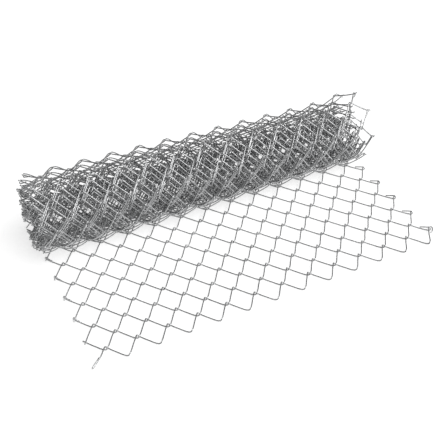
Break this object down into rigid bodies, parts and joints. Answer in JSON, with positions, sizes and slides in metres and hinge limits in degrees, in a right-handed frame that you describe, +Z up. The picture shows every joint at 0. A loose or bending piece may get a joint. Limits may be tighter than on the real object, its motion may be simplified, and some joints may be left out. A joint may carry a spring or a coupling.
{
  "type": "roll of wire fencing",
  "caption": "Roll of galvanised woven diamond-mesh wire fencing lying on its side, its free length unrolled flat on the ground in front of it.",
  "frame": {"origin": "on the ground, at the centre of the part's footprint", "axes": "+X along the roll towards its narrower end, -Y towards the free edge of the unrolled length, +Z up from the ground"},
  "size_m": [0.886, 0.4982, 0.1979],
  "materials": {
    "rolled_mesh": "galvanised wire, satin",
    "galvanised_wire": "galvanised wire, satin"
  },
  "bodies": {
    "root": {"roll": "rolled_mesh", "picket_1": "galvanised_wire", "picket_2": "galvanised_wire", "picket_3": "galvanised_wire", "picket_4": "galvanised_wire", "picket_5": "galvanised_wire", "picket_6": "galvanised_wire", "picket_7": "galvanised_wire", "picket_8": "galvanised_wire", "picket_9": "galvanised_wire", "picket_10": "galvanised_wire"}
  },
  "joints": []
}
